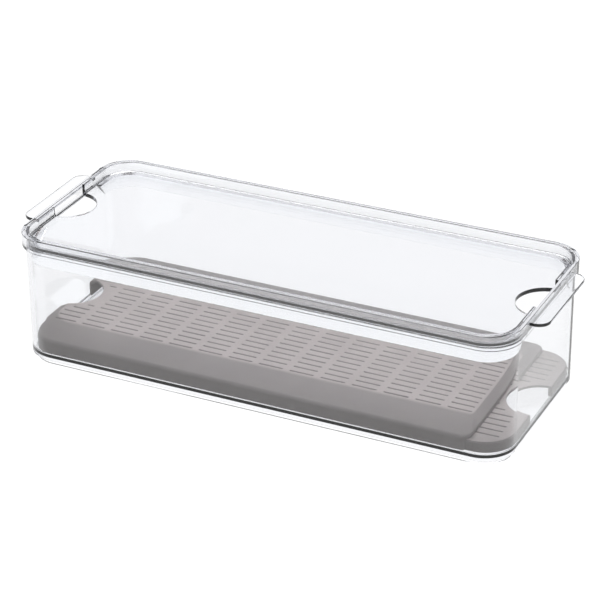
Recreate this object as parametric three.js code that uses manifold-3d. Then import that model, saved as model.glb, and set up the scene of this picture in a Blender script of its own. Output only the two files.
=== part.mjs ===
// A clear lidded fridge bin with two slotted drain trays nested on its floor.
//
// Frame: millimetres, +Z up. The origin is on the surface that the bin stands on, under the middle of
// the rim. X runs along the length and Y across the width.
//
// Pieces: bin, lower_tray, upper_tray, lid. Each is one moulding, and each lifts straight out.

import * as THREE from 'three';
import { ConvexGeometry } from 'three/addons/geometries/ConvexGeometry.js';
import { mergeVertices } from 'three/addons/utils/BufferGeometryUtils.js';
import Module from 'manifold-3d';

const wasm = await Module();
wasm.setup();

// ---------------------------------------------------------------- driving dimensions

const LENGTH = 380; // over the rim, without the handle tabs
const WIDTH = 154;
const HEIGHT = 100;
const WALL = 2.2; // clear plastic wall
const CORNER = 24; // outer corner radius of the rim in plan
const CORNER_STEPS = 8; // facets in a quarter turn

// bin
const RIM_HEIGHT = 10.5;
const RIM_STEP = 2.2; // the rim band stands this far out from the body
const LEDGE_DROP = 9; // from the top of the rim down to the ledge that carries the lid
const FOOT_HEIGHT = 4; // stacking foot under the body
const FOOT_INSET = 3; // lets the foot stand in the recess of the lid below
const FLOOR_TOP = 8;
const TAB_REACH = 12; // handle tab, out from the rim
const TAB_WIDTH = 82;
const TAB_THICKNESS = 2.4;
const TAB_DROP = 2; // from the top of the rim down to the top of the tab
const TAB_CORNER = 9;

// lid
const LID_GAP = 0.5; // around the lid, inside the rim
const LID_REST_GAP = 0.3; // between the lid and the ledge
const PANEL_DEPTH = 6.8; // from the top of the lid's rim down to its panel
const PANEL_THICKNESS = 2.4;
const PLUG_GAP = 0.6; // between the lid's skirt and the bin wall
const PLUG_BOTTOM = 79; // lower edge of the lid's skirt
const SKIRT_OPENING = 88; // the skirt is left out over this width at each end
const LID_NOTCH_RADIUS = 21.5;

// trays
const TRAY_WALL = 1.8;
const TRAY_END_GAP = 0.7; // to the bin's end wall
const TRAY_SIDE_GAP = 0.7; // to the bin's side wall
const TRAY_REST_GAP = 0.3; // to the floor, and between the two trays
const TRAY_SHORT_END = 24.2; // each tray stops this far short of the end that it is slid away from
const TRAY_NOTCH_RADIUS = 21.5;
const TRAY_SQUARE_CORNER = 8; // corner radius at a tray's short end
const UPPER_TOP = 22.8;
const UPPER_RIDGE = 19.5; // top of the upper tray's upright skirt
const UPPER_SIDE_SLOPE = 27; // width of the sloping margin along the sides
const UPPER_END_SLOPE = 7;
const LOWER_TOP = 16.5;
const LOWER_CHAMFER = 2;
const NEST_GAP = 0.5; // between the upper tray's skirt and the lower tray

// drain slots
const SLOT_PITCH = 24; // along X
const SLOT_BRIDGE = 4.6; // solid strip between two slots of a row
const SLOT_WIDTH = 1.8;
const SLOT_COLUMNS = 14;
const UPPER_SLOT_ROWS = 14;
const UPPER_ROW_PITCH = 6.68;
const LOWER_SLOT_ROWS = 17;
const LOWER_ROW_PITCH = 7.1;
const SLOT_END_MARGIN = 1.5; // solid strip between the last slot and the end of the plate
const SLOT_NOTCH_MARGIN = 5;

// ---------------------------------------------------------------- derived dimensions

const BODY_INSET = RIM_STEP;
const CAVITY_INSET = RIM_STEP + WALL;
const RIM_BOTTOM = HEIGHT - RIM_HEIGHT;
const LEDGE = HEIGHT - LEDGE_DROP;
const CAVITY_HALF_LENGTH = LENGTH / 2 - CAVITY_INSET;
const CAVITY_HALF_WIDTH = WIDTH / 2 - CAVITY_INSET;
const TRAY_FAR_END = CAVITY_HALF_LENGTH - TRAY_END_GAP;
const TRAY_NEAR_END = CAVITY_HALF_LENGTH - TRAY_SHORT_END;
const TRAY_CORNER = CORNER - 2;
const UPPER_HALF_WIDTH = CAVITY_HALF_WIDTH - TRAY_SIDE_GAP;
const LOWER_HALF_WIDTH = UPPER_HALF_WIDTH - TRAY_WALL - NEST_GAP;
const TRAY_BOTTOM = FLOOR_TOP + TRAY_REST_GAP;
const CUT = 1; // cutting bodies run this far past the faces that they open

// ---------------------------------------------------------------- solids

// A plan outline from x0 to x1 with its own corner radius at each end.
function outline(x0, x1, halfWidth, radius0, radius1 = radius0) {
  const shape = new THREE.Shape();
  const quarter = Math.PI / 2;
  shape.absarc(x1 - radius1, halfWidth - radius1, radius1, 0, quarter, false);
  shape.absarc(x0 + radius0, halfWidth - radius0, radius0, quarter, 2 * quarter, false);
  shape.absarc(x0 + radius0, radius0 - halfWidth, radius0, 2 * quarter, 3 * quarter, false);
  shape.absarc(x1 - radius1, radius1 - halfWidth, radius1, 3 * quarter, 4 * quarter, false);
  return shape;
}

// The rim's outline moved in by inset on every side.
function insetOutline(inset) {
  const halfLength = LENGTH / 2 - inset;
  return outline(-halfLength, halfLength, WIDTH / 2 - inset, CORNER - inset * 0.6);
}

function toSolid(geometry) {
  const bare = geometry.clone();
  bare.deleteAttribute('normal');
  bare.deleteAttribute('uv');
  const merged = mergeVertices(bare, 1e-4);
  return new wasm.Manifold(new wasm.Mesh({
    numProp: 3,
    vertProperties: new Float32Array(merged.attributes.position.array),
    triVerts: new Uint32Array(merged.index.array),
  }));
}

// An outline extruded upright between two heights.
function slab(shape, bottom, top) {
  const geometry = new THREE.ExtrudeGeometry(shape, {
    depth: top - bottom,
    bevelEnabled: false,
    curveSegments: CORNER_STEPS,
  });
  geometry.translate(0, 0, bottom);
  return toSolid(geometry);
}

// The convex body through a stack of outlines, each given with its height.
function loft(levels) {
  const points = [];
  for (const [shape, height] of levels) {
    for (const point of shape.getPoints(CORNER_STEPS)) {
      points.push(new THREE.Vector3(point.x, point.y, height));
    }
  }
  return toSolid(new ConvexGeometry(points));
}

function box(sizeX, sizeY, sizeZ, x, y, z) {
  const geometry = new THREE.BoxGeometry(sizeX, sizeY, sizeZ);
  geometry.translate(x, y, z);
  return toSolid(geometry);
}

// An upright round cutter for a finger notch, centred on an end wall.
function notchCutter(x, radius, bottom, top) {
  const geometry = new THREE.CylinderGeometry(radius, radius, top - bottom, 6 * CORNER_STEPS);
  geometry.rotateX(Math.PI / 2);
  geometry.translate(x, 0, (bottom + top) / 2);
  return toSolid(geometry);
}

function toMesh(name, solid, material) {
  const { vertProperties, triVerts } = solid.getMesh();
  const geometry = new THREE.BufferGeometry();
  geometry.setAttribute('position', new THREE.BufferAttribute(vertProperties, 3));
  geometry.setIndex(new THREE.BufferAttribute(triVerts, 1));
  geometry.computeVertexNormals();
  const mesh = new THREE.Mesh(geometry, material);
  mesh.name = name;
  return mesh;
}

// ---------------------------------------------------------------- bin

// A flat finger tab under the top of the rim, with its two outer corners rounded.
function handleTab(side) {
  const top = HEIGHT - TAB_DROP;
  const inner = LENGTH / 2 - WALL / 2;
  const outer = LENGTH / 2 + TAB_REACH;
  const root = inner - TAB_CORNER;
  const tab = slab(outline(root, outer, TAB_WIDTH / 2, 1, TAB_CORNER), top - TAB_THICKNESS, top);
  const trimmed = tab.subtract(box(2 * TAB_CORNER, TAB_WIDTH + 2 * CUT, HEIGHT, inner - TAB_CORNER, 0, top));
  return side > 0 ? trimmed : trimmed.rotate([0, 0, 180]);
}

function makeBin() {
  const foot = slab(insetOutline(BODY_INSET + FOOT_INSET), 0, FOOT_HEIGHT + CUT);
  const body = slab(insetOutline(BODY_INSET), FOOT_HEIGHT, RIM_BOTTOM + CUT);
  const rim = slab(insetOutline(0), RIM_BOTTOM, HEIGHT);
  const cavity = slab(insetOutline(CAVITY_INSET), FLOOR_TOP, HEIGHT + CUT);
  const lidSeat = slab(insetOutline(WALL), LEDGE, HEIGHT + CUT);
  const footHollow = slab(insetOutline(BODY_INSET + FOOT_INSET + WALL), -CUT, FLOOR_TOP - WALL);
  const shell = foot.add(body).add(rim).subtract(cavity).subtract(lidSeat).subtract(footHollow);
  return shell.add(handleTab(1)).add(handleTab(-1));
}

// ---------------------------------------------------------------- lid

function makeLid() {
  const bottom = LEDGE + LID_REST_GAP;
  const panelTop = HEIGHT - PANEL_DEPTH;
  const edge = WALL + LID_GAP;
  const plug = CAVITY_INSET + PLUG_GAP;
  const frame = slab(insetOutline(edge), bottom, HEIGHT);
  const recess = slab(insetOutline(edge + WALL), panelTop, HEIGHT + CUT);
  const skirt = slab(insetOutline(plug), PLUG_BOTTOM, bottom + CUT);
  const underside = slab(insetOutline(plug + WALL), PLUG_BOTTOM - CUT, panelTop - PANEL_THICKNESS);
  let lid = frame.add(skirt).subtract(recess).subtract(underside);
  const skirtHeight = panelTop - PANEL_THICKNESS - PLUG_BOTTOM;
  for (const side of [-1, 1]) {
    const x = side * (LENGTH / 2 - edge);
    const z = PLUG_BOTTOM + (skirtHeight - CUT) / 2;
    const depth = 2 * (plug + WALL + CUT);
    lid = lid.subtract(box(depth, SKIRT_OPENING, skirtHeight + CUT, side * LENGTH / 2, 0, z));
    lid = lid.subtract(notchCutter(x, LID_NOTCH_RADIUS, PLUG_BOTTOM - CUT, HEIGHT + CUT));
  }
  return lid;
}

// ---------------------------------------------------------------- trays

// The slots of a tray's flat plate, from plateStart to plateEnd, clear of the finger notch.
function drainSlots(plateStart, plateEnd, rows, rowPitch, notchX, plateTop) {
  const middle = (plateStart + plateEnd) / 2;
  const cutters = [];
  for (let row = 0; row < rows; row += 1) {
    const y = (row - (rows - 1) / 2) * rowPitch;
    const keepOut = TRAY_NOTCH_RADIUS + SLOT_NOTCH_MARGIN;
    const reach = Math.sqrt(Math.max(0, keepOut * keepOut - y * y));
    for (let column = 0; column < SLOT_COLUMNS; column += 1) {
      const centre = middle + (column - (SLOT_COLUMNS - 1) / 2) * SLOT_PITCH;
      const half = (SLOT_PITCH - SLOT_BRIDGE) / 2;
      let start = Math.max(centre - half, plateStart + SLOT_END_MARGIN);
      let end = Math.min(centre + half, plateEnd - SLOT_END_MARGIN);
      if (notchX < 0) {
        start = Math.max(start, notchX + reach);
      } else {
        end = Math.min(end, notchX - reach);
      }
      if (end - start > 2 * SLOT_WIDTH) {
        const height = 4 * TRAY_WALL;
        cutters.push(box(end - start, SLOT_WIDTH, height, (start + end) / 2, y, plateTop));
      }
    }
  }
  return wasm.Manifold.union(cutters);
}

// Slid to the -X end. Its skirt straddles the lower tray, and its short end is open over it.
function makeUpperTray() {
  const x0 = -TRAY_FAR_END;
  const x1 = TRAY_NEAR_END;
  const t = TRAY_WALL;
  const plan = (inset) => outline(
    x0 + inset, x1 - inset, UPPER_HALF_WIDTH - inset, TRAY_CORNER - inset, TRAY_SQUARE_CORNER - inset);
  const plate = (inset) => outline(
    x0 + UPPER_END_SLOPE + inset, x1 - UPPER_END_SLOPE - inset,
    UPPER_HALF_WIDTH - UPPER_SIDE_SLOPE, TRAY_CORNER - UPPER_END_SLOPE, TRAY_SQUARE_CORNER / 2);
  const outer = loft([[plan(0), TRAY_BOTTOM], [plan(0), UPPER_RIDGE], [plate(0), UPPER_TOP]]);
  const inner = loft([[plan(t), TRAY_BOTTOM - CUT], [plan(t), UPPER_RIDGE - t], [plate(0), UPPER_TOP - t]]);
  const lowerEnvelope = slab(
    outline(-LENGTH / 2, LENGTH / 2, LOWER_HALF_WIDTH + NEST_GAP, 1), TRAY_BOTTOM - CUT, LOWER_TOP + NEST_GAP);
  const openEnd = lowerEnvelope.subtract(
    box(LENGTH, WIDTH, HEIGHT, x1 - UPPER_END_SLOPE - t - LENGTH / 2, 0, HEIGHT / 2));
  const plateStart = x0 + UPPER_END_SLOPE;
  const plateEnd = x1 - UPPER_END_SLOPE;
  return outer
    .subtract(inner)
    .subtract(openEnd)
    .subtract(notchCutter(x0, TRAY_NOTCH_RADIUS, TRAY_BOTTOM - CUT, UPPER_TOP + CUT))
    .subtract(drainSlots(plateStart, plateEnd, UPPER_SLOT_ROWS, UPPER_ROW_PITCH, x0, UPPER_TOP));
}

// Slid to the +X end, flat topped, with a chamfered edge.
function makeLowerTray() {
  const x0 = -TRAY_NEAR_END;
  const x1 = TRAY_FAR_END;
  const t = TRAY_WALL;
  const c = LOWER_CHAMFER;
  const plan = (inset) => outline(
    x0 + inset, x1 - inset, LOWER_HALF_WIDTH - inset, TRAY_SQUARE_CORNER - inset, TRAY_CORNER - inset);
  const outer = loft([[plan(0), TRAY_BOTTOM], [plan(0), LOWER_TOP - c], [plan(c), LOWER_TOP]]);
  const inner = slab(plan(t + c / 2), TRAY_BOTTOM - CUT, LOWER_TOP - t);
  return outer
    .subtract(inner)
    .subtract(notchCutter(x1, TRAY_NOTCH_RADIUS, TRAY_BOTTOM - CUT, LOWER_TOP + CUT))
    .subtract(drainSlots(x0 + c, x1 - c, LOWER_SLOT_ROWS, LOWER_ROW_PITCH, x1, LOWER_TOP));
}

// ---------------------------------------------------------------- assembly

function clearPlastic() {
  return new THREE.MeshStandardMaterial({ color: 0xeef2f4, roughness: 0.05, metalness: 0 });
}

function trayPlastic() {
  return new THREE.MeshStandardMaterial({ color: 0xa39c9a, roughness: 0.5, metalness: 0 });
}

const fridgeBin = new THREE.Group();
fridgeBin.add(toMesh('bin', makeBin(), clearPlastic()));
fridgeBin.add(toMesh('lower_tray', makeLowerTray(), trayPlastic()));
fridgeBin.add(toMesh('upper_tray', makeUpperTray(), trayPlastic()));
fridgeBin.add(toMesh('lid', makeLid(), clearPlastic()));

export default fridgeBin;
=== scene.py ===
"""A clear lidded fridge bin with two slotted drain trays, in a plain white studio.

Lengths in the constants are millimetres; everything built is in metres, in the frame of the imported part:
X along the bin, Y across it, +Z up, the origin on the surface that it stands on.
"""

import math

import bmesh
import bpy
from mathutils import Matrix, Vector


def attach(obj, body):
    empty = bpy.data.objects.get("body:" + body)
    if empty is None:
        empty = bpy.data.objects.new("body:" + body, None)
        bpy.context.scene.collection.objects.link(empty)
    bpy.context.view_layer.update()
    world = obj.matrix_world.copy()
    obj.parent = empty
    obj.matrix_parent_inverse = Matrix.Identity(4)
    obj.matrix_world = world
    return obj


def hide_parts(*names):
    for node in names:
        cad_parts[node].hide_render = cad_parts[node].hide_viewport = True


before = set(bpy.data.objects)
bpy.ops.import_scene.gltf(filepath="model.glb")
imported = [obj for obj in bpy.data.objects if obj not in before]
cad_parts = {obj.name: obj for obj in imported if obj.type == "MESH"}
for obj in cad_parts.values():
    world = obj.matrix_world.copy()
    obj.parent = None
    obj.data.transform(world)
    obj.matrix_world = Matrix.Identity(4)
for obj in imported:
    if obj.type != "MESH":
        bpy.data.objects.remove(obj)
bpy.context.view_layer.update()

MM = 0.001
CORNER_STEPS = 14  # facets in a quarter turn of a plan outline
FILLET_STEPS = 4  # facets in a rounded edge
ROUND_STEPS = 96  # facets in a finger notch's full circle
SLOT_END_STEPS = 6  # facets in a slot's round end
CUTTER_RISE = 3.0  # mm that a bevelled round cutter goes on widening for
SLOT_CUTTER_RISE = 0.9
CUT_TOLERANCE = 0.03  # mm within which a vertex counts as on a round cut
CUT_EDGE_ANGLE = 40  # degrees; a cut's edge that turns by more is rounded
SHARP_ANGLE = 32  # degrees; an edge that turns by more isn't shaded smooth

# ---------------------------------------------------------------- sizes, in mm

HALF_LENGTH = 190.0  # to the outside of the rim
HALF_WIDTH = 77.0
HEIGHT = 100.0
WALL = 2.2
CORNER = 24.0

RIM_BOTTOM = 89.5
RIM_STEP = 2.2
LEDGE = 91.0
FOOT_HEIGHT = 4.0
FOOT_INSET = 3.0
FLOOR_TOP = 8.0
FLOOR_BOTTOM = 4.8
CAVITY = RIM_STEP + WALL  # inset of the inside of the wall

TAB_REACH = 12.0
TAB_HALF_WIDTH = 41.0
TAB_BOTTOM = 95.6
TAB_TOP = 98.0
TAB_CORNER = 9.0

LID_EDGE = WALL + 0.5  # inset of the outside of the lid
LID_BOTTOM = LEDGE + 0.3
PANEL_TOP = 93.2
PANEL_THICKNESS = 3.0
SKIRT_BOTTOM = 79.0
SKIRT_EDGE = CAVITY + 0.6
SKIRT_ROOT_THICKNESS = 3.5
SKIRT_TIP_THICKNESS = 1.0
SKIRT_OPENING = 44.0  # half of the width over which the skirt is left out at each end
SKIRT_FLARE = 12.0  # how far the ends of the skirt slope under
LID_NOTCH_RADIUS = 21.5
LID_NOTCH_EDGE = 0.2  # rounding of the edges that the notch leaves

TRAY_WALL = 1.8
TRAY_BOTTOM = FLOOR_TOP + 0.3
TRAY_FAR_END = HALF_LENGTH - CAVITY - 0.7
TRAY_NEAR_END = HALF_LENGTH - CAVITY - 24.2
TRAY_CORNER = CORNER - 2.0
TRAY_SQUARE_CORNER = 8.0
TRAY_NOTCH_RADIUS = 21.5
TRAY_NOTCH_EDGE = 0.4  # bevel on the notches' upper edges
UPPER_TOP = 22.8
UPPER_RIDGE = 19.5
UPPER_SIDE_SLOPE = 27.0
UPPER_END_SLOPE = 7.0
UPPER_HALF_WIDTH = HALF_WIDTH - CAVITY - 0.7
LOWER_TOP = 16.5
LOWER_CHAMFER = 2.0
NEST_GAP = 0.5
LOWER_HALF_WIDTH = UPPER_HALF_WIDTH - TRAY_WALL - NEST_GAP

SLOT_PITCH = 24.0
SLOT_LENGTH = 19.4
SLOT_WIDTH = 1.8  # at the top
SLOT_COLUMNS = 14
SLOT_EDGE = 0.6  # bevel on the slots' upper edges
SLOT_END_MARGIN = 1.5
SLOT_NOTCH_MARGIN = 5.0
UPPER_ROWS = 14
UPPER_ROW_PITCH = 6.68
LOWER_ROWS = 17
LOWER_ROW_PITCH = 7.1

# ---------------------------------------------------------------- camera

VIEW_YAW = 25.812
VIEW_PITCH = 27.528
VIEW_ROLL = -0.488
VIEW_DISTANCE = 1681.1
VIEW_TARGET = (0.0, 0.0, 48.0)
VIEW_SLIDE = (1.84, 5.37)  # camera moved along its own right and up
LENS = 141.16
SENSOR = 36.0


def make_camera():
    yaw, pitch, roll = (math.radians(a) for a in (VIEW_YAW, VIEW_PITCH, VIEW_ROLL))
    back = Vector((math.sin(yaw) * math.cos(pitch), -math.cos(yaw) * math.cos(pitch), math.sin(pitch)))
    level = Vector((math.cos(yaw), math.sin(yaw), 0.0))
    upright = back.cross(level)
    right = level * math.cos(roll) + upright * math.sin(roll)
    up = upright * math.cos(roll) - level * math.sin(roll)
    place = Vector(VIEW_TARGET) + back * VIEW_DISTANCE + right * VIEW_SLIDE[0] + up * VIEW_SLIDE[1]
    data = bpy.data.cameras.new("camera")
    data.lens = LENS
    data.sensor_width = SENSOR
    data.clip_start = 0.05
    data.clip_end = 50.0
    camera = bpy.data.objects.new("camera", data)
    turn = Matrix((right, up, back)).transposed().to_4x4()
    camera.matrix_world = Matrix.Translation(place * MM) @ turn
    bpy.context.scene.collection.objects.link(camera)
    bpy.context.scene.camera = camera


# ---------------------------------------------------------------- mesh building


def plan_ring(plan, side, end, z):
    """A rounded rectangle moved in by side and end, as points in metres. A plan is (x0, x1, half width,
    corner radius at x0, at x1, how fast each radius shrinks with the inset)."""
    x0, x1, half_width, radius0, radius1, shrink0, shrink1 = plan
    radius0 = max(radius0 - shrink0 * end, 0.2)
    radius1 = max(radius1 - shrink1 * end, 0.2)
    left, right, reach = x0 + end, x1 - end, half_width - side
    corners = [
        (right - radius1, reach - radius1, radius1),
        (left + radius0, reach - radius0, radius0),
        (left + radius0, radius0 - reach, radius0),
        (right - radius1, radius1 - reach, radius1),
    ]
    points = []
    for quarter, (x, y, radius) in enumerate(corners):
        for step in range(CORNER_STEPS + 1):
            angle = math.pi / 2 * (quarter + step / CORNER_STEPS)
            points.append(Vector((x + radius * math.cos(angle), y + radius * math.sin(angle), z)) * MM)
    return points


def filleted(corners):
    """The points of a path through (side, end, z) corners, each rounded by its own radius."""
    points = [Vector(corners[0][:3])]
    for before, here, after in zip(corners, corners[1:], corners[2:]):
        corner, radius = Vector(here[:3]), here[3]
        back = (Vector(before[:3]) - corner).normalized()
        ahead = (Vector(after[:3]) - corner).normalized()
        half = back.angle(ahead) / 2
        centre = corner + (back + ahead).normalized() * (radius / math.sin(half))
        first = corner + back * (radius / math.tan(half)) - centre
        last = corner + ahead * (radius / math.tan(half)) - centre
        turn = math.pi - 2 * half
        for step in range(FILLET_STEPS + 1):
            part = turn * step / FILLET_STEPS
            points.append(centre + (first * math.sin(turn - part) + last * math.sin(part)) / math.sin(turn))
    points.append(Vector(corners[-1][:3]))
    return points


def object_from(name, mesh):
    bmesh.ops.recalc_face_normals(mesh, faces=mesh.faces)
    data = bpy.data.meshes.new(name)
    mesh.to_mesh(data)
    mesh.free()
    made = bpy.data.objects.new(name, data)
    bpy.context.scene.collection.objects.link(made)
    return made


def stack_rings(mesh, outlines):
    """Joins outlines of equal length into a closed skin, with a flat face over the first and the last."""
    rings = [[mesh.verts.new(point) for point in outline] for outline in outlines]
    for lower, upper in zip(rings, rings[1:]):
        for k in range(len(lower)):
            n = (k + 1) % len(lower)
            mesh.faces.new((lower[k], lower[n], upper[n], upper[k]))
    mesh.faces.new(list(reversed(rings[0])))
    mesh.faces.new(rings[-1])


def swept(name, plan, corners):
    """A closed moulding whose section follows the filleted path all round the plan."""
    mesh = bmesh.new()
    stack_rings(mesh, [plan_ring(plan, *point) for point in filleted(corners)])
    return object_from(name, mesh)


def same_inset(path):
    """(inset, z, radius) corners as (side, end, z, radius) ones."""
    return [(inset, inset, z, radius) for inset, z, radius in path]


def round_cutter(x, radius, bottom, top, flare):
    """An upright round cutter. Where flare isn't 0, it leaves a 45 degree bevel that deep round the top."""
    levels = [(radius, bottom), (radius, top)]
    if flare > 0:
        levels = [(radius, bottom), (radius, top - flare), (radius + CUTTER_RISE, top - flare + CUTTER_RISE)]
    mesh = bmesh.new()
    outlines = []
    turns = [2 * math.pi * k / ROUND_STEPS for k in range(ROUND_STEPS)]
    for reach, z in levels:
        outlines.append([Vector((x + reach * math.cos(a), reach * math.sin(a), z)) * MM for a in turns])
    stack_rings(mesh, outlines)
    return object_from("cutter", mesh)


def box_cutter(low, high, flare):
    """A box between two corners, longer along Y by flare at each end of its underside."""
    mesh = bmesh.new()
    outlines = []
    for z, more in ((low[2], flare), (high[2], 0)):
        y0, y1 = low[1] - more, high[1] + more
        plan = [(low[0], y0), (high[0], y0), (high[0], y1), (low[0], y1)]
        outlines.append([Vector((x, y, z)) * MM for x, y in plan])
    stack_rings(mesh, outlines)
    return object_from("cutter", mesh)


def combine(piece, other, operation):
    """Cuts other from the piece, or adds it, and removes other."""
    step = piece.modifiers.new(operation.lower(), "BOOLEAN")
    step.operation = operation
    step.solver = "EXACT"
    step.object = other
    shaped = piece.evaluated_get(bpy.context.evaluated_depsgraph_get())
    data = bpy.data.meshes.new_from_object(shaped)
    piece.modifiers.clear()
    old = piece.data
    piece.data = data
    bpy.data.meshes.remove(old)
    bpy.data.objects.remove(other)


def soften_round_cut(piece, x, radius, width):
    """Rounds the sharp edges that a round cut has left."""
    mesh = bmesh.new()
    mesh.from_mesh(piece.data)
    bmesh.ops.remove_doubles(mesh, verts=mesh.verts, dist=1e-6)

    def on_cut(vertex):
        return abs(math.hypot(vertex.co.x - x * MM, vertex.co.y) - radius * MM) < CUT_TOLERANCE * MM

    edges = []
    for edge in mesh.edges:
        if len(edge.link_faces) == 2 and all(on_cut(v) for v in edge.verts):
            if edge.calc_face_angle() > math.radians(CUT_EDGE_ANGLE):
                edges.append(edge)
    bmesh.ops.bevel(
        mesh, geom=edges, offset=width * MM, segments=3, profile=0.5, affect="EDGES", clamp_overlap=True
    )
    mesh.to_mesh(piece.data)
    mesh.free()


def finish_piece(piece, body, node, material):
    piece.data.materials.clear()
    piece.data.materials.append(material)
    piece.data.shade_smooth()
    piece.data.set_sharp_from_angle(angle=math.radians(SHARP_ANGLE))
    weighted = piece.modifiers.new("weighted normals", "WEIGHTED_NORMAL")
    weighted.keep_sharp = True
    weighted.weight = 100
    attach(piece, body)
    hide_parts(node)


# ---------------------------------------------------------------- bin

RIM_PLAN = (-HALF_LENGTH, HALF_LENGTH, HALF_WIDTH, CORNER, CORNER, 0.6, 0.6)
CAP_INSET = 14.0  # where the flat floor and panels begin


def handle_tab(side):
    inner = HALF_LENGTH - WALL / 2
    outer = HALF_LENGTH + TAB_REACH
    plan = (inner, outer, TAB_HALF_WIDTH, 0.9, TAB_CORNER, 1.0, 1.0)
    if side < 0:
        plan = (-outer, -inner, TAB_HALF_WIDTH, TAB_CORNER, 0.9, 1.0, 1.0)
    path = [(1.5, TAB_BOTTOM, 0), (0, TAB_BOTTOM, 0.7), (0, TAB_TOP, 0.7), (1.5, TAB_TOP, 0)]
    return swept("tab", plan, same_inset(path))


def make_bin(material):
    foot = RIM_STEP + FOOT_INSET
    path = [
        (CAP_INSET, FLOOR_BOTTOM, 0),
        (foot + WALL, FLOOR_BOTTOM, 0.8),
        (foot + WALL, 0, 0.7),
        (foot, 0, 0.7),
        (foot, FOOT_HEIGHT, 0.5),
        (RIM_STEP, FOOT_HEIGHT, 1.2),
        (RIM_STEP, RIM_BOTTOM, 0.5),
        (0, RIM_BOTTOM, 0.3),
        (0, HEIGHT, 0.4),
        (WALL, HEIGHT, 0.3),
        (WALL, LEDGE, 0.4),
        (CAVITY, LEDGE, 0.4),
        (CAVITY, FLOOR_TOP, 1.8),
        (CAP_INSET, FLOOR_TOP, 0),
    ]
    piece = swept("clear_bin", RIM_PLAN, same_inset(path))
    for side in (-1, 1):
        combine(piece, handle_tab(side), "UNION")
    finish_piece(piece, "bin", "bin", material)


# ---------------------------------------------------------------- lid


def make_lid(material):
    under = PANEL_TOP - PANEL_THICKNESS
    path = [
        (CAP_INSET, under, 0),
        (SKIRT_EDGE + SKIRT_ROOT_THICKNESS, under, 0.8),
        (SKIRT_EDGE + SKIRT_TIP_THICKNESS, SKIRT_BOTTOM, 0.5),
        (SKIRT_EDGE, SKIRT_BOTTOM, 0.5),
        (SKIRT_EDGE, LID_BOTTOM, 0.3),
        (LID_EDGE, LID_BOTTOM, 0.5),
        (LID_EDGE, HEIGHT, 0.35),
        (LID_EDGE + WALL, HEIGHT, 0.35),
        (LID_EDGE + WALL, PANEL_TOP, 2.5),
        (CAP_INSET, PANEL_TOP, 0),
    ]
    piece = swept("clear_lid", RIM_PLAN, same_inset(path))
    depth = SKIRT_EDGE + SKIRT_ROOT_THICKNESS + 1
    for side in (-1, 1):
        ends = sorted((side * HALF_LENGTH, side * (HALF_LENGTH - depth)))
        low = (ends[0], SKIRT_FLARE / 2 - SKIRT_OPENING, SKIRT_BOTTOM - 1)
        high = (ends[1], SKIRT_OPENING - SKIRT_FLARE / 2, under)
        combine(piece, box_cutter(low, high, SKIRT_FLARE), "DIFFERENCE")
        x = side * (HALF_LENGTH - LID_EDGE)
        combine(piece, round_cutter(x, LID_NOTCH_RADIUS, SKIRT_BOTTOM - 1, HEIGHT + 1, 0), "DIFFERENCE")
        soften_round_cut(piece, x, LID_NOTCH_RADIUS, LID_NOTCH_EDGE)
    finish_piece(piece, "lid", "lid", material)


# ---------------------------------------------------------------- trays


def add_slot(mesh, start, end, y, bottom, top):
    """A round-ended slot cutter, flared at the top so that it leaves a bevelled edge."""
    radius = SLOT_WIDTH / 2
    narrow = radius - SLOT_EDGE
    flare = top - SLOT_EDGE
    levels = [(narrow, bottom), (narrow, flare), (narrow + SLOT_CUTTER_RISE, flare + SLOT_CUTTER_RISE)]
    outlines = []
    for reach, z in levels:
        outline = []
        for x, first in ((end - radius, -90), (start + radius, 90)):
            for step in range(SLOT_END_STEPS + 1):
                angle = math.radians(first + 180 / SLOT_END_STEPS * step)
                outline.append(Vector((x + reach * math.cos(angle), y + reach * math.sin(angle), z)) * MM)
        outlines.append(outline)
    stack_rings(mesh, outlines)


def slot_cutter(plate_start, plate_end, rows, row_pitch, notch_x, top):
    middle = (plate_start + plate_end) / 2
    mesh = bmesh.new()
    for row in range(rows):
        y = (row - (rows - 1) / 2) * row_pitch
        keep_out = TRAY_NOTCH_RADIUS + SLOT_NOTCH_MARGIN
        reach = math.sqrt(max(0.0, keep_out * keep_out - y * y))
        for column in range(SLOT_COLUMNS):
            centre = middle + (column - (SLOT_COLUMNS - 1) / 2) * SLOT_PITCH
            start = max(centre - SLOT_LENGTH / 2, plate_start + SLOT_END_MARGIN)
            end = min(centre + SLOT_LENGTH / 2, plate_end - SLOT_END_MARGIN)
            if notch_x < 0:
                start = max(start, notch_x + reach)
            else:
                end = min(end, notch_x - reach)
            if end - start > 2 * SLOT_WIDTH:
                add_slot(mesh, start, end, y, top - TRAY_WALL - 1.0, top)
    return object_from("cutter", mesh)


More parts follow.
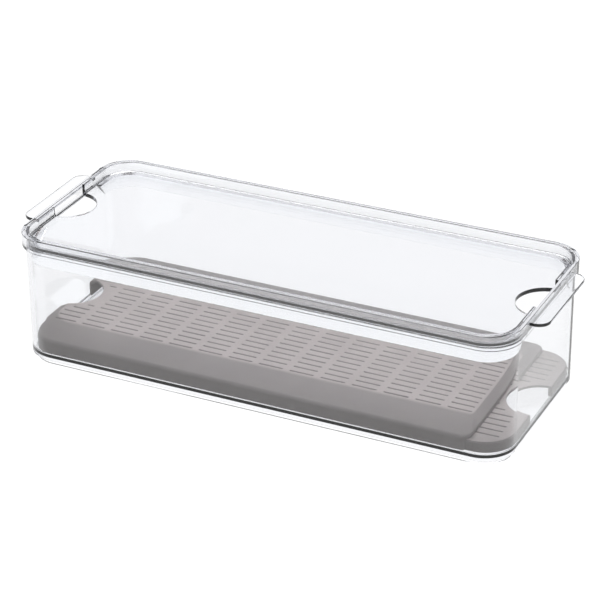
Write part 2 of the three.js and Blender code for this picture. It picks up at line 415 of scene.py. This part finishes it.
def make_upper_tray(material):
    x0, x1 = -TRAY_FAR_END, TRAY_NEAR_END
    t = TRAY_WALL
    plan = (x0, x1, UPPER_HALF_WIDTH, TRAY_CORNER, TRAY_SQUARE_CORNER, 1.0, 0.57)
    flat_side, flat_end = UPPER_SIDE_SLOPE + 2.0, UPPER_END_SLOPE + 1.0
    path = [
        (flat_side, flat_end, UPPER_TOP - t, 0),
        (UPPER_SIDE_SLOPE, UPPER_END_SLOPE, UPPER_TOP - t, 1.0),
        (t, t, UPPER_RIDGE - t, 1.0),
        (t, t, TRAY_BOTTOM, 0.5),
        (0, 0, TRAY_BOTTOM, 0.9),
        (0, 0, UPPER_RIDGE, 3.0),
        (UPPER_SIDE_SLOPE, UPPER_END_SLOPE, UPPER_TOP, 4.0),
        (flat_side, flat_end, UPPER_TOP, 0),
    ]
    piece = swept("upper_drain_tray", plan, path)
    over_lower = LOWER_HALF_WIDTH + NEST_GAP
    low = (x1 - UPPER_END_SLOPE - t, -over_lower, TRAY_BOTTOM - 1)
    high = (x1 + 5, over_lower, LOWER_TOP + NEST_GAP)
    combine(piece, box_cutter(low, high, 0), "DIFFERENCE")
    notch = round_cutter(x0, TRAY_NOTCH_RADIUS, TRAY_BOTTOM - 1, UPPER_TOP, TRAY_NOTCH_EDGE)
    combine(piece, notch, "DIFFERENCE")
    plate = (x0 + UPPER_END_SLOPE, x1 - UPPER_END_SLOPE)
    combine(piece, slot_cutter(*plate, UPPER_ROWS, UPPER_ROW_PITCH, x0, UPPER_TOP), "DIFFERENCE")
    finish_piece(piece, "upper_tray", "upper_tray", material)


def make_lower_tray(material):
    x0, x1 = -TRAY_NEAR_END, TRAY_FAR_END
    t, c = TRAY_WALL, LOWER_CHAMFER
    plan = (x0, x1, LOWER_HALF_WIDTH, TRAY_SQUARE_CORNER, TRAY_CORNER, 1.0, 1.0)
    path = same_inset([
        (t + c + 1.0, LOWER_TOP - t, 0),
        (t + c / 2, LOWER_TOP - t, 0.5),
        (t + c / 2, TRAY_BOTTOM, 0.5),
        (0, TRAY_BOTTOM, 0.6),
        (0, LOWER_TOP - c / 2, 1.0),
        (c / 2, LOWER_TOP, 1.0),
        (t + c + 1.0, LOWER_TOP, 0),
    ])
    piece = swept("lower_drain_tray", plan, path)
    notch = round_cutter(x1, TRAY_NOTCH_RADIUS, TRAY_BOTTOM - 1, LOWER_TOP, TRAY_NOTCH_EDGE)
    combine(piece, notch, "DIFFERENCE")
    slots = slot_cutter(x0 + c, x1 - c, LOWER_ROWS, LOWER_ROW_PITCH, x1, LOWER_TOP)
    combine(piece, slots, "DIFFERENCE")
    finish_piece(piece, "lower_tray", "lower_tray", material)


# ---------------------------------------------------------------- materials


def new_material(name):
    material = bpy.data.materials.new(name)
    material.use_nodes = True
    tree = material.node_tree
    return material, tree, tree.nodes["Principled BSDF"]


def noise(tree, coordinates, scale, detail):
    node = tree.nodes.new("ShaderNodeTexNoise")
    node.inputs["Scale"].default_value = scale
    node.inputs["Detail"].default_value = detail
    tree.links.new(coordinates, node.inputs["Vector"])
    return node.outputs["Fac"]


def spread(tree, value, low, high):
    """Maps the middle of a noise's range to low..high."""
    node = tree.nodes.new("ShaderNodeMapRange")
    node.inputs["From Min"].default_value = 0.3
    node.inputs["From Max"].default_value = 0.7
    node.inputs["To Min"].default_value = low
    node.inputs["To Max"].default_value = high
    tree.links.new(value, node.inputs["Value"])
    return node.outputs["Result"]


def bump(tree, height, distance, strength):
    node = tree.nodes.new("ShaderNodeBump")
    node.inputs["Distance"].default_value = distance
    node.inputs["Strength"].default_value = strength
    tree.links.new(height, node.inputs["Height"])
    return node


def object_coordinates(tree):
    return tree.nodes.new("ShaderNodeTexCoord").outputs["Object"]


CLEAR_IOR = 1.53
CLEAR_BODY = (0.30, 0.32, 0.46, 1.0)  # slightly blue over long paths
CLEAR_DENSITY = 20.0  # per metre


def clear_plastic(name):
    """Polished clear plastic with faint moulding waves and slightly uneven polish. Its body absorbs a little
    light, so that it darkens where it is seen edge on."""
    material, tree, shader = new_material(name)
    shader.inputs["Base Color"].default_value = (0.985, 0.99, 0.995, 1.0)
    shader.inputs["Transmission Weight"].default_value = 1.0
    shader.inputs["IOR"].default_value = CLEAR_IOR
    place = object_coordinates(tree)
    tree.links.new(spread(tree, noise(tree, place, 60.0, 3.0), 0.0, 0.02), shader.inputs["Roughness"])
    waves = bump(tree, noise(tree, place, 14.0, 1.0), 0.0004, 0.04)
    tree.links.new(waves.outputs["Normal"], shader.inputs["Normal"])
    body = tree.nodes.new("ShaderNodeVolumeAbsorption")
    body.inputs["Color"].default_value = CLEAR_BODY
    body.inputs["Density"].default_value = CLEAR_DENSITY
    tree.links.new(body.outputs["Volume"], tree.nodes["Material Output"].inputs["Volume"])
    return material


PAINTED_SHADE_FADE = 0.35  # mm under the plate over which the painted shade fades in
PAINTED_SHADE_TONE = 0.59  # painted shade: the tone of everything below the plate, against the plate's 1
TRAY_GREY_DARK = (0.490, 0.440, 0.430, 1.0)
TRAY_GREY_LIGHT = (0.545, 0.490, 0.478, 1.0)


def tray_plastic(name, plate_top):
    """Satin warm grey plastic with a fine moulded grain and slight clouding of the colour. Everything below
    the plate's top, margin and sides alike, gets a painted shade: its colour is darkened by height alone,
    and it has the same grain and polish as the plate."""
    material, tree, shader = new_material(name)
    place = object_coordinates(tree)
    colours = tree.nodes.new("ShaderNodeMix")
    colours.data_type = "RGBA"
    colours.inputs["A"].default_value = TRAY_GREY_DARK
    colours.inputs["B"].default_value = TRAY_GREY_LIGHT
    tree.links.new(spread(tree, noise(tree, place, 35.0, 4.0), 0.0, 1.0), colours.inputs["Factor"])
    height = tree.nodes.new("ShaderNodeSeparateXYZ")
    tree.links.new(place, height.inputs["Vector"])
    # painted shade: 1 on the plate, fading to the darker tone just under it, by height in the object
    painted_shade_by_height = tree.nodes.new("ShaderNodeMapRange")
    painted_shade_by_height.inputs["From Min"].default_value = (plate_top - PAINTED_SHADE_FADE) * MM
    painted_shade_by_height.inputs["From Max"].default_value = plate_top * MM
    painted_shade_by_height.inputs["To Min"].default_value = PAINTED_SHADE_TONE
    tree.links.new(height.outputs["Z"], painted_shade_by_height.inputs["Value"])
    # the clouded colour times the painted shade
    painted_shade_colour = tree.nodes.new("ShaderNodeVectorMath")
    painted_shade_colour.operation = "SCALE"
    tree.links.new(colours.outputs["Result"], painted_shade_colour.inputs["Vector"])
    tree.links.new(painted_shade_by_height.outputs["Result"], painted_shade_colour.inputs["Scale"])
    tree.links.new(painted_shade_colour.outputs["Vector"], shader.inputs["Base Color"])
    tree.links.new(spread(tree, noise(tree, place, 900.0, 2.0), 0.40, 0.52), shader.inputs["Roughness"])
    grain = bump(tree, noise(tree, place, 2600.0, 2.0), 0.00005, 0.2)
    tree.links.new(grain.outputs["Normal"], shader.inputs["Normal"])
    return material


# ---------------------------------------------------------------- studio

FLOOR_HALF = 12.0  # m
FLOOR_LEVEL = -0.0004  # m, just under the foot
FLOOR_GLOW = 1.07  # seen directly or through clear plastic
FLOOR_REFLECTED = 1.0
FLOOR_BOUNCE = 0.32  # for the light that it throws back at the object
FLOOR_GREY = 0.03
WORLD_BOUNCE = 0.45  # the backdrop's share in the light on the object
TOP_LIGHT_PLACE = (0.0, 0.1, 1.6)
TOP_LIGHT_SIZE = (3.0, 2.0)
TOP_LIGHT_POWER = 60.0


def make_floor():
    """A white floor that glows less in reflections, and less still on the object, than when it is seen."""
    mesh = bmesh.new()
    corners = ((-1, -1), (1, -1), (1, 1), (-1, 1))
    mesh.faces.new([mesh.verts.new((x * FLOOR_HALF, y * FLOOR_HALF, FLOOR_LEVEL)) for x, y in corners])
    floor = object_from("floor", mesh)
    material, tree, shader = new_material("pale_floor")
    shader.inputs["Base Color"].default_value = (FLOOR_GREY, FLOOR_GREY, FLOOR_GREY, 1.0)
    shader.inputs["Roughness"].default_value = 1.0
    shader.inputs["Specular IOR Level"].default_value = 0.0
    shader.inputs["Emission Color"].default_value = (1.0, 1.0, 1.0, 1.0)
    path = tree.nodes.new("ShaderNodeLightPath")
    glow = None
    for depth, level in (("Glossy Depth", FLOOR_REFLECTED), ("Diffuse Depth", FLOOR_BOUNCE)):
        step = tree.nodes.new("ShaderNodeMapRange")
        step.inputs["To Min"].default_value = FLOOR_GLOW
        step.inputs["To Max"].default_value = level
        tree.links.new(path.outputs[depth], step.inputs["Value"])
        if glow:
            tree.links.new(glow, step.inputs["To Min"])
        glow = step.outputs["Result"]
    tree.links.new(glow, shader.inputs["Emission Strength"])
    floor.data.materials.append(material)


def make_world():
    """A white backdrop that darkens above, the same all round. The camera sees it as plain white, and it
    gives the object less light than it shows."""
    world = bpy.data.worlds.new("studio")
    bpy.context.scene.world = world
    world.use_nodes = True
    tree = world.node_tree
    background = tree.nodes["Background"]
    direction = tree.nodes.new("ShaderNodeTexCoord").outputs["Generated"]
    height = tree.nodes.new("ShaderNodeSeparateXYZ")
    tree.links.new(direction, height.inputs["Vector"])
    ramp = tree.nodes.new("ShaderNodeValToRGB")
    stops = ramp.color_ramp.elements
    stops[0].position = 0.0
    stops[0].color = (1.0, 1.0, 1.0, 1.0)
    stops[1].position = 0.30
    stops[1].color = (1.0, 1.0, 1.0, 1.0)
    for place, tone in ((0.48, 0.9), (0.60, 0.10), (0.80, 0.03), (1.0, 0.03)):
        stop = stops.new(place)
        stop.color = (tone, tone, tone * 1.03, 1.0)
    tree.links.new(height.outputs["Z"], ramp.inputs["Fac"])
    path = tree.nodes.new("ShaderNodeLightPath")
    level = tree.nodes.new("ShaderNodeMapRange")
    level.inputs["To Min"].default_value = 1.0
    level.inputs["To Max"].default_value = WORLD_BOUNCE
    tree.links.new(path.outputs["Diffuse Depth"], level.inputs["Value"])
    tree.links.new(level.outputs["Result"], background.inputs["Strength"])
    choose = tree.nodes.new("ShaderNodeMix")
    choose.data_type = "RGBA"
    choose.inputs["B"].default_value = (1.0, 1.0, 1.0, 1.0)
    tree.links.new(path.outputs["Is Camera Ray"], choose.inputs["Factor"])
    tree.links.new(ramp.outputs["Color"], choose.inputs["A"])
    tree.links.new(choose.outputs["Result"], background.inputs["Color"])


def softbox(name, place, size, power):
    data = bpy.data.lights.new(name, "AREA")
    data.shape = "RECTANGLE"
    data.size, data.size_y = size
    data.energy = power
    light = bpy.data.objects.new(name, data)
    light.location = place
    light.rotation_mode = "QUATERNION"
    light.rotation_quaternion = (Vector((0, 0, 0.05)) - light.location).to_track_quat("-Z", "Y")
    bpy.context.scene.collection.objects.link(light)


def main():
    bpy.context.scene.view_settings.view_transform = "Standard"
    make_camera()
    make_floor()
    make_world()
    softbox("top_light", TOP_LIGHT_PLACE, TOP_LIGHT_SIZE, TOP_LIGHT_POWER)
    make_bin(clear_plastic("clear_bin_plastic"))
    make_lid(clear_plastic("clear_lid_plastic"))
    make_upper_tray(tray_plastic("upper_tray_plastic", UPPER_TOP))
    make_lower_tray(tray_plastic("lower_tray_plastic", LOWER_TOP))


main()
